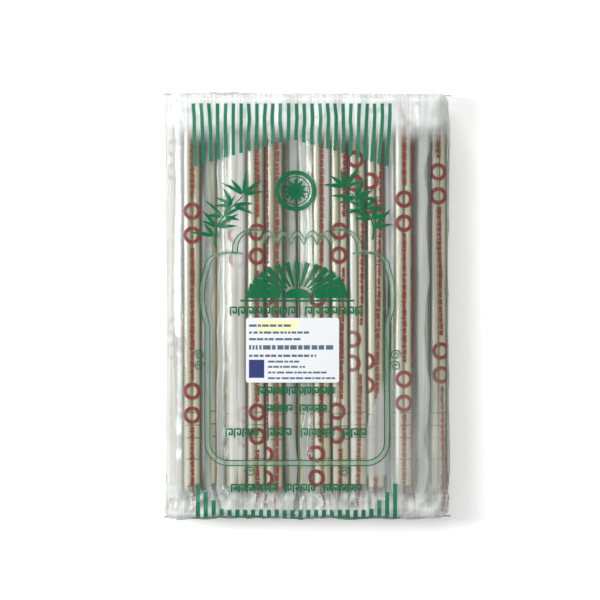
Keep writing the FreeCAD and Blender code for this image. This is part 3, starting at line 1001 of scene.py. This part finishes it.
def bag_milk_and_glare(points):
    """Each point's milk and glare and veil on the bag: white over the ends, which over the tips is partly
    painted glare; painted glare down the left side; painted highlights in long streaks, each a flat bell
    exp(-t^4) across; a haze over the right thick corner; and grey where a flap of loose film lies beside the
    last close pair, a wedge that widens towards the end."""
    x, y, z = points.T
    front = z > BAG_TOP - 5
    ends = 0.55 * smooth_step(np.abs(y), 112, 133) * (0.2 + 1.6 * soft_noise(points, (6.0, 5.0, 6.0), 25))
    ends *= 1 + 0.5 * smooth_step(x, 30, 65) * (y < 0)
    ends = np.minimum(ends, 0.9)
    # The tip end is whitened, partly as milky film and partly as painted glare, as if blown out by the lamp
    tips = np.clip(0.6 + 0.8 * soft_noise(points, (5.0, 4.0, 5.0), 24), 0, 0.96) * smooth_step(y, 101, 119)
    upper = smooth_step(z, 20, 33)
    # Painted glare down the left side, as if blown out by the lamp on the left
    left_glare = 0.62 * smooth_step(-x, 77, 82) * upper
    milk_and_glare = np.maximum(np.maximum(ends, tips) * (0.25 + 0.75 * upper), left_glare)
    # Painted highlights: long white streaks for the lamps' reflection in folds of the film
    for place, half, low, high, strength in GLARE_STREAKS:
        bell = np.exp(-((x - place) / half) ** 4) * smooth_step(y, low, low + 25)
        bell *= 1 - smooth_step(y, high - 25, high)
        uneven = 0.35 + 1.1 * soft_noise(points * [0, 1, 0] + place, (1.0, 38.0, 1.0), 26)
        milk_and_glare = np.maximum(milk_and_glare, strength * bell * uneven * front)
    corner = 0.3 * smooth_step(x, 10, 70) * smooth_step(-y, 10, 110) * front
    milk_and_glare = np.maximum(milk_and_glare, corner * (0.4 + 1.1 * soft_noise(points, (9.0, 30.0, 9.0), 27)))
    width = 14 * smooth_step(-y, 30, 85)
    wedge = smooth_step(x, 50 - width, 52 - width) * (1 - smooth_step(x, 49, 52))
    wedge *= smooth_step(-y, 40, 62) * (1 - smooth_step(-y, 104, 112)) * front
    return milk_and_glare, 0.6 * wedge


def seal_grid(end, seed):
    """A folded end seal as a closed grid: its profile leaves the end wall, turns down and runs over the
    pressed ridges, and comes back on its other side; along X it waves a little away from the wall."""
    values = settings().bag
    reach = BAG_HALF_WIDTH + SEAL_OVERHANG
    xs = np.linspace(-reach, reach, 130)
    down = np.linspace(0, 1, 6 * values.seal_ridges + 1)
    ridges = 0.18 * np.sin(down * values.seal_ridges * 2 * math.pi)
    out = 0.5 + 0.5 * smooth_step(down, 0, 0.1) + ridges
    wave = soft_noise(np.stack([xs, 0 * xs, 0 * xs + seed], axis=-1), (22.0, 1.0, 1.0), seed)
    fine = soft_noise(np.stack([xs, 0 * xs, 0 * xs + seed], axis=-1), (6.0, 1.0, 1.0), seed + 1) - 0.5
    stand = (2.6 * wave + 0.8 * fine)[:, None] * down[None, :] ** 1.2
    hang = values.seal_length * (1 - 0.12 * wave)[:, None] * down[None, :]
    outer_y = BAG_HALF_LENGTH - 0.4 + out[None, :] + stand
    z = values.seal_height - hang
    outer = np.stack([xs[:, None] + 0 * z, outer_y, z], axis=-1)
    inner = outer - np.array([0.0, 0.25, 0.0])
    grid = np.concatenate([outer, inner[:, ::-1]], axis=1)
    return grid * np.array([1.0, end, 1.0])


# The bag's printed design


def stripes():
    """The rows of stripes across both ends. Those at the tips get longer towards the sides, and the outer
    ones lean in. The other row runs over the bag's edge to a line, and its outer ones reach further up."""
    shapes = []
    for index in range(STRIPE_COUNT):
        outward = abs(index - (STRIPE_COUNT - 1) / 2)
        across = (index - (STRIPE_COUNT - 1) / 2) * STRIPE_PITCH
        x = TIP_STRIPE_MIDDLE + across
        along = np.linspace(0, TIP_STRIPE_LENGTH + 1.36 * outward, 40)
        lean = 0.065 * smooth_step(across, 22, 62) - 0.025 * smooth_step(-across, 30, 62)
        spots = np.stack([np.full(40, x), 0.4 * along, 0 * along], axis=-1)
        wobble = 1.1 * (soft_noise(spots, (9.0, 4.0, 1.0), 19) - 0.5) * (1 - 0.5 * along / 40)
        path = np.stack([x - lean * along + wobble, TIP_STRIPE_START - along], axis=-1)
        shapes.append((ribbon(path, STRIPE_WIDTH / 2, 2), False))
        rise = 5.3 * max(0.0, outward - 9.4)
        along = np.linspace(BUTT_STRIPE_START + rise, BUTT_STRIPE_END, 24)
        path = np.stack([np.full(24, BUTT_STRIPE_MIDDLE + across), along], axis=-1)
        shapes.append((ribbon(path, 0.6 * STRIPE_WIDTH, 2), False))
    edge = BUTT_STRIPE_MIDDLE + np.linspace(-66, 66, 140)
    line = np.stack([edge, BUTT_LINE_PLACE + 0.4 * np.sin(edge / 9.0)], axis=-1)
    shapes.append((ribbon(line, 1.3, 2), False))
    return shapes


def leaf(root, angle, length, width):
    """A pointed leaf: a ribbon along a slightly bent line, its half width (width / 2) sin(pi t^0.7)^0.9."""
    share = np.linspace(0, 1, 14)
    bend = 0.16 * length * share ** 2 * math.cos(angle)
    ahead = np.array([math.cos(angle), math.sin(angle)])
    aside = np.array([-ahead[1], ahead[0]])
    path = np.asarray(root) + share[:, None] * length * ahead - bend[:, None] * aside
    half = 0.5 * width * np.sin(math.pi * share ** 0.7) ** 0.9 + 0.05
    return ribbon(path, half, 2), False


def leaf_spray(foot, mirror, seed):
    """A spray of bamboo: a bent stem with slender pointed leaves spread from each of its joints."""
    noise = np.random.default_rng(seed)
    share = np.linspace(0, 1, 30)
    stem = np.stack([mirror * (15 * share ** 1.5 - 3 * np.sin(4 * share)), 33 * share], axis=-1) + foot
    shapes = [(ribbon(stem, 0.6 - 0.3 * share, 1), False)]
    # Each joint's place along the stem and the headings of its leaves, in degrees
    joints = (
        (0.22, (158, 128)),
        (0.4, (150, 118, 40, 8)),
        (0.6, (165, 135, 62, 28, -6)),
        (0.8, (172, 142, 112, 20, -14)),
        (1.0, (150, 118, 84, 50, 16)),
    )
    for place, headings in joints:
        root = stem[int(place * 29)]
        for heading in headings:
            angle = math.radians(heading + noise.uniform(-7, 7))
            angle = angle if mirror > 0 else math.pi - angle
            ahead = np.array([math.cos(angle), math.sin(angle)])
            shapes.append(leaf(root + ahead, angle, noise.uniform(9.5, 15.5), noise.uniform(1.9, 2.6)))
    return shapes


def arc_path(centre, radii, start, end, count=24):
    """Points along part of an ellipse, between two angles in degrees."""
    turn = np.radians(np.linspace(start, end, count))
    return np.stack([centre[0] + radii[0] * np.cos(turn), centre[1] + radii[1] * np.sin(turn)], axis=-1)


def frame_half(inset):
    """The right half of the frame's line in four parts, pulled in by inset: the foot with its round corner
    and the side, which bows outwards by half a sine; a low shoulder and a high one, each part of an ellipse;
    and the top, whose scallops are |cos|^0.8."""
    side = FRAME_WIDTH / 2 - inset
    radius = FRAME_CORNER - inset
    foot = FRAME_LOW + inset
    flat = np.stack([np.linspace(0, side - radius, 40, endpoint=False), np.full(40, foot)], axis=-1)
    corner = arc_path((side - radius, foot + radius), (radius, radius), -90, 0, 14)
    rise = np.linspace(foot + radius, SHOULDER_PLACE, 80)[1:]
    bow = FRAME_BOW * np.sin(math.pi * np.clip((rise - BOW_START) / (SHOULDER_PLACE - BOW_START), 0, 1))
    flank = np.stack([side + bow, rise], axis=-1)
    low_shoulder = arc_path((side - 14, SHOULDER_PLACE), (14, 9), 0, 118)
    high_shoulder = arc_path((side - 30, SHOULDER_PLACE + 11), (12.5, 12.5), -10, 112)
    across = np.linspace(0, high_shoulder[-1, 0], 60)
    scallop = 6.0 * np.abs(np.cos(math.pi * across * 2.5 / high_shoulder[-1, 0])) ** 0.8
    top = np.stack([across, SHOULDER_PLACE + 16.5 - inset + scallop], axis=-1)
    return [np.concatenate([flat, corner, flank]), low_shoulder, high_shoulder, top]


def frame_sides(inset):
    """Both halves of the frame's line."""
    halves = frame_half(inset)
    middle = np.array([FRAME_MIDDLE, 0.0])
    return [middle + part * (side, 1) for part in halves for side in (1, -1)]


def scroll(centre, side):
    """A small scroll: a spiral of one and a half turns whose radius shrinks from 3.4 mm to 0.8 mm."""
    turn = np.linspace(0, 3 * math.pi, 40)
    radius = 3.4 - 2.6 * turn / turn[-1]
    path = np.stack([side * radius * np.cos(turn), radius * np.sin(turn)], axis=-1)
    return ribbon(path + centre, FRAME_LINE / 2, 1), False


def frame_lines():
    """The frame's two thin lines, with a pair of small scrolls on each side and below its foot."""
    paths = frame_sides(0.0) + frame_sides(FRAME_GAP)
    shapes = [(ribbon(path, FRAME_LINE / 2, 1), False) for path in paths]
    for side in (-1, 1):
        x = FRAME_MIDDLE + side * (FRAME_WIDTH / 2 + 3.6)
        shapes += [scroll((x, SCROLL_PLACE), side), scroll((x, SCROLL_PLACE - 7.0), -side)]
        shapes.append(scroll((FRAME_MIDDLE + side * 30.0, FRAME_LOW - 4.0), side))
    return shapes


def frame_band():
    """The pale band between the frame's two lines."""
    return [(ribbon(part, FRAME_GAP / 2 - FRAME_LINE / 2, 2), False) for part in frame_sides(FRAME_GAP / 2)]


def medallion():
    """A round medallion: a thick ring, a thin one, and a rosette of slender petals."""
    centre = np.array([FRAME_MIDDLE - 1.0, MEDALLION_PLACE])
    shapes = [(ribbon(circle(centre, MEDALLION_RADIUS, 60), 1.3, 2, True), True)]
    shapes.append((ribbon(circle(centre, MEDALLION_RADIUS - 2.7, 60), 0.35, 1, True), True))
    for index in range(PETAL_COUNT):
        shapes.append(leaf(centre, index * 2 * math.pi / PETAL_COUNT, 8.0, 2.6))
    return shapes


def sunburst():
    """Half a sunburst over a thin line: rays that widen from a solid half disc out to a flat ellipse."""
    centre = np.array([FRAME_MIDDLE, SUNBURST_BASE])
    shapes = []
    for index in range(RAY_COUNT):
        angle = math.pi * (index + 0.5) / RAY_COUNT
        reach = np.array([math.cos(angle), math.sin(angle)]) * SUNBURST_REACH
        share = np.linspace(0.34, 1.0, 12)
        path = centre + share[:, None] * reach
        across = 0.36 * math.pi / RAY_COUNT * np.hypot(*reach) * share
        shapes.append((ribbon(path, across, 3), False))
    inner = np.linspace(0.01, 0.27, 5)[:, None, None] * arc_path((0, 0), SUNBURST_REACH, 0, 180, 30)
    shapes.append((centre + inner, False))
    base = np.stack([np.linspace(-36, 36, 40), np.full(40, -1.6)], axis=-1)
    shapes.append((ribbon(centre + base, 0.6, 1), False))
    return shapes


def fret_rows():
    """Rows of plain fret: square hooks side by side in short runs, each row centred on the frame."""
    corners = np.array([(0.0, 0.0), (0.0, 1.0), (0.7, 1.0), (0.7, 0.34), (0.36, 0.34), (0.36, 0.66)])
    even = np.linspace(0, len(corners) - 1, 21)
    hook = np.stack([np.interp(even, np.arange(len(corners)), corners[:, k]) for k in (0, 1)], axis=-1)
    shapes = []
    for place, width, height, runs in FRET_ROWS:
        pitch = 0.98 * height
        count = round(width / pitch)
        skipped = [round(count * (run + 1) / runs) for run in range(runs - 1)]
        for index in range(count):
            if index not in skipped:
                start = np.array([FRAME_MIDDLE + (index - count / 2) * pitch, place - height / 2])
                shapes.append((ribbon(start + height * hook, FRET_LINE / 2, 1), False))
    return shapes


# Operators


class BambooSticks(Operator):
    """Give every stick its turned bamboo finish"""
    bl_idname = "chopsticks.bamboo_sticks"
    bl_label = "Bamboo sticks"

    def execute(self, context):
        material = bamboo_material()
        for name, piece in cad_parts.items():
            if "stick" in name:
                piece.data.materials.clear()
                piece.data.materials.append(material)
        return {"FINISHED"}


class FilmSleeves(Operator):
    """Wrap each pair in its own clear film sleeve"""
    bl_idname = "chopsticks.film_sleeves"
    bl_label = "Film sleeves"

    def execute(self, context):
        haze = settings().sleeves.haze
        material = film_material("clear_sleeve_film", haze, crease_mm=1.6, bump_mm=0.12)
        for name, sleeve in front_sleeves().items():
            sleeve_piece(name + "_film", [sleeve], material, name + "_sleeve")
        half_width = STICK_OFFSET + STICK_RADIUS + settings().sleeves.slack
        for index, name in enumerate(LAYER_PAIRS):
            fineness = 2 if name == "layer_6" else 1
            sleeves = [
                sleeve_grid(line, 100 * (index + 1) + number, half_width, NO_EARS, fineness)
                for number, line in enumerate(layer_pairs(name))
            ]
            sleeve_piece(name + "_film", sleeves, material, name + "_sleeves")
        return {"FINISHED"}


class SleevePrint(Operator):
    """Print the red rings and dashed lines on the sleeves that show"""
    bl_idname = "chopsticks.sleeve_print"
    bl_label = "Sleeve print"

    def execute(self, context):
        colour = settings().sleeves.ink
        material = ink_material("red_film_ink", colour, density=0.96, mottle_mm=1.1)
        for index, (name, sleeve) in enumerate(front_sleeves().items()):
            points, _, along, top = sleeve
            normals = grid_normals(points, points.mean(axis=1, keepdims=True))
            front = slice(0, len(top))
            surface = surface_on(points[:, front], normals[:, front], along, top, lift=0.07)
            shapes = sleeve_shapes(name, 70 + index)
            print_piece(name + "_print", shapes, surface, material, (top[0], top[-1]))
        return {"FINISHED"}


class BagFilm(Operator):
    """Close the printed film bag round the pairs"""
    bl_idname = "chopsticks.bag_film"
    bl_label = "Bag film"

    def execute(self, context):
        values = settings().bag
        material = film_material("clear_bag_film", values.haze, crease_mm=3.0, bump_mm=0.25)
        grid, laid = make_bag()
        points, faces = closed_tubes([grid])
        milk_and_glare, veil = bag_milk_and_glare(points)
        new_piece("bag_film", points, faces, material, ["bag"], {"milk_and_glare": milk_and_glare, "veil": veil})
        points, faces = closed_tubes([seal_grid(1.0, 21), seal_grid(-1.0, 23)])
        nothing = np.zeros(len(points))
        attributes = {"milk_and_glare": nothing + 0.3, "veil": nothing}
        new_piece("bag_end_seals", points, faces, material, (), attributes)
        ink = ink_material("green_film_ink", values.ink, density=0.95, mottle_mm=1.6)
        thin = ink_material("thin_green_film_ink", values.stripe_ink, density=0.95, mottle_mm=1.6)
        pale = ink_material("pale_film_ink", values.band, density=0.24, mottle_mm=1.6)
        leaves = [shape for spray in LEAF_SPRAYS for shape in leaf_spray(*spray)]
        for name, shapes, coat in (
            ("stripes", stripes(), thin),
            ("leaves", leaves, ink),
            ("frame", frame_lines(), ink),
            ("medallion", medallion(), ink),
            ("sunburst", sunburst(), ink),
            ("fret", fret_rows(), ink),
            ("band", frame_band(), pale),
        ):
            print_piece("bag_print_" + name, shapes, laid, coat)
        return {"FINISHED"}


class PaperLabel(Operator):
    """Finish the label's paper and print its plain bars"""
    bl_idname = "chopsticks.paper_label"
    bl_label = "Paper label"

    def execute(self, context):
        values = settings().label
        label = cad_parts["label"]
        label.data.materials.clear()
        label.data.materials.append(paper_material())
        low, high = LABEL_BOX

        def laid(x, y, lift=0.03):
            return np.stack([low[0] + x, high[1] - y, np.full_like(x, high[2] + lift)], axis=-1)

        bars = []
        noise = np.random.default_rng(51)
        for place, start, end, height in LABEL_ROWS:
            x = start
            while x < end - 0.5:
                length = min(noise.uniform(1.2, 5.0), end - x)
                bars.append((block((x, place - height / 2), (x + length, place + height / 2)), False))
                x += length + noise.uniform(0.5, 1.1)
        square = [(block(*LABEL_SQUARE), False)]
        field = [(block(*LABEL_FIELD), False)]
        for name, shapes, surface, colour in (
            ("dark", bars, laid, values.dark),
            ("blue", square, laid, values.blue),
            ("yellow", field, lambda x, y: laid(x, y, 0.015), values.yellow),
        ):
            material = print_material(name + "_label_print", colour)
            print_piece("label_print_" + name, shapes, surface, material)
        return {"FINISHED"}


class Stage(Operator):
    """Set the camera over the bag, with a white floor and plain soft lamps"""
    bl_idname = "chopsticks.stage"
    bl_label = "Stage"

    def execute(self, context):
        scene = context.scene
        values = settings().stage
        scene.view_settings.view_transform = "Standard"
        scene.cycles.transparent_max_bounces = 48
        self.floor(values)
        self.world(scene)
        self.lamps(scene)
        self.camera(scene, values)
        return {"FINISHED"}

    def seen(self, owner):
        """1 where the camera, a reflection or glass shows the surface, and 0 for all other light."""
        path = add_node(owner, "LightPath").outputs
        either = {"operation": "MAXIMUM"}
        direct = add_node(owner, "Math", either, in0=path["Is Camera Ray"], in1=path["Is Glossy Ray"])
        return add_node(owner, "Math", either, in0=direct, in1=path["Is Transmission Ray"])

    def floor(self, values):
        """A white floor that keeps the bag's soft shadow."""
        half = 3000.0
        points = block((-half, -half), (half, half), half)
        flat = np.concatenate([points, np.zeros(points.shape[:2] + (1,))], axis=-1)
        mesh = bpy.data.meshes.new("floor")
        mesh.from_pydata((flat.reshape(-1, 3) * MM).tolist(), [], grid_faces(*points.shape[:2]).tolist())
        material = new_material("white_floor")
        diffuse = add_node(material, "BsdfDiffuse", Color=opaque(values.floor))
        glow = add_node(material, "Emission", Color=(1, 1, 1, 1), Strength=0.35)
        nothing = add_node(material, "Emission", Color=(0, 0, 0, 1), Strength=0.0)
        lit = add_node(material, "MixShader", in0=self.seen(material), in1=nothing, in2=glow)
        both = add_node(material, "AddShader", in0=diffuse, in1=lit)
        add_node(material, "OutputMaterial", Surface=both)
        mesh.materials.append(material)
        floor = bpy.data.objects.new("floor", mesh)
        bpy.context.scene.collection.objects.link(floor)

    def world(self, scene):
        """Plain light from all round, and white where the camera or a reflection sees it."""
        world = bpy.data.worlds.new("plain_white")
        world.use_nodes = True
        world.node_tree.nodes.clear()
        level = add_node(
            world, "Math", {"operation": "MULTIPLY_ADD"}, in0=self.seen(world), in1=0.75, in2=0.25
        )
        sky = add_node(world, "Background", Color=(1, 1, 1, 1), Strength=level)
        add_node(world, "OutputWorld", Surface=sky)
        scene.world = world

    def lamps(self, scene):
        """Long soft boxes: a key on the left, a second lamp past the tips, and a weak fill on the right."""
        # Each lamp's place and size in metres, and its power in watts
        for name, place, size, power in (
            ("key_lamp", (-0.95, 0.1, 1.05), (0.3, 0.9), 15.8),
            ("tip_lamp", (-0.15, 1.1, 0.9), (0.8, 0.3), 8.0),
            ("fill_lamp", (0.9, -0.3, 1.2), (0.8, 0.8), 2.2),
        ):
            lamp = bpy.data.lights.new(name, "AREA")
            lamp.shape = "RECTANGLE"
            lamp.size, lamp.size_y = size
            lamp.energy = power
            holder = bpy.data.objects.new(name, lamp)
            scene.collection.objects.link(holder)
            holder.location = place
            holder.rotation_euler = (-holder.location).to_track_quat("-Z", "Y").to_euler()

    def camera(self, scene, values):
        """A long lens straight above the bag's front, as the photograph was taken."""
        camera = bpy.data.cameras.new("camera")
        camera.sensor_width = 36.0
        camera.lens = camera.sensor_width * values.distance / values.view_width
        camera.clip_end = 20.0
        holder = bpy.data.objects.new("camera", camera)
        scene.collection.objects.link(holder)
        holder.location = (values.centre_x * MM, values.centre_y * MM, (BAG_TOP + values.distance) * MM)
        scene.camera = holder


class ChopstickPanel(Panel):
    """Lists the steps that dress the bag"""
    bl_idname = "VIEW3D_PT_chopsticks"
    bl_label = "Chopsticks"
    bl_space_type = "VIEW_3D"
    bl_region_type = "UI"
    bl_category = "Chopsticks"

    def draw(self, context):
        for step in STEPS:
            self.layout.operator(step.bl_idname)


STEPS = (BambooSticks, FilmSleeves, SleevePrint, BagFilm, PaperLabel, Stage)
CLASSES = (
    StickSettings,
    SleeveSettings,
    BagSettings,
    LabelSettings,
    StageSettings,
    ChopstickBagSettings,
    *STEPS,
    ChopstickPanel,
)


def register():
    """Register the settings, steps and panel."""
    for kind in CLASSES:
        bpy.utils.register_class(kind)
    bpy.types.Scene.chopstick_bag = PointerProperty(type=ChopstickBagSettings)


def unregister():
    """Take the settings, steps and panel away again."""
    del bpy.types.Scene.chopstick_bag
    for kind in reversed(CLASSES):
        bpy.utils.unregister_class(kind)


def main():
    """Register the add-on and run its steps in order."""
    register()
    bpy.ops.chopsticks.bamboo_sticks()
    bpy.ops.chopsticks.film_sleeves()
    bpy.ops.chopsticks.sleeve_print()
    bpy.ops.chopsticks.bag_film()
    bpy.ops.chopsticks.paper_label()
    bpy.ops.chopsticks.stage()


if __name__ == "__main__":
    main()
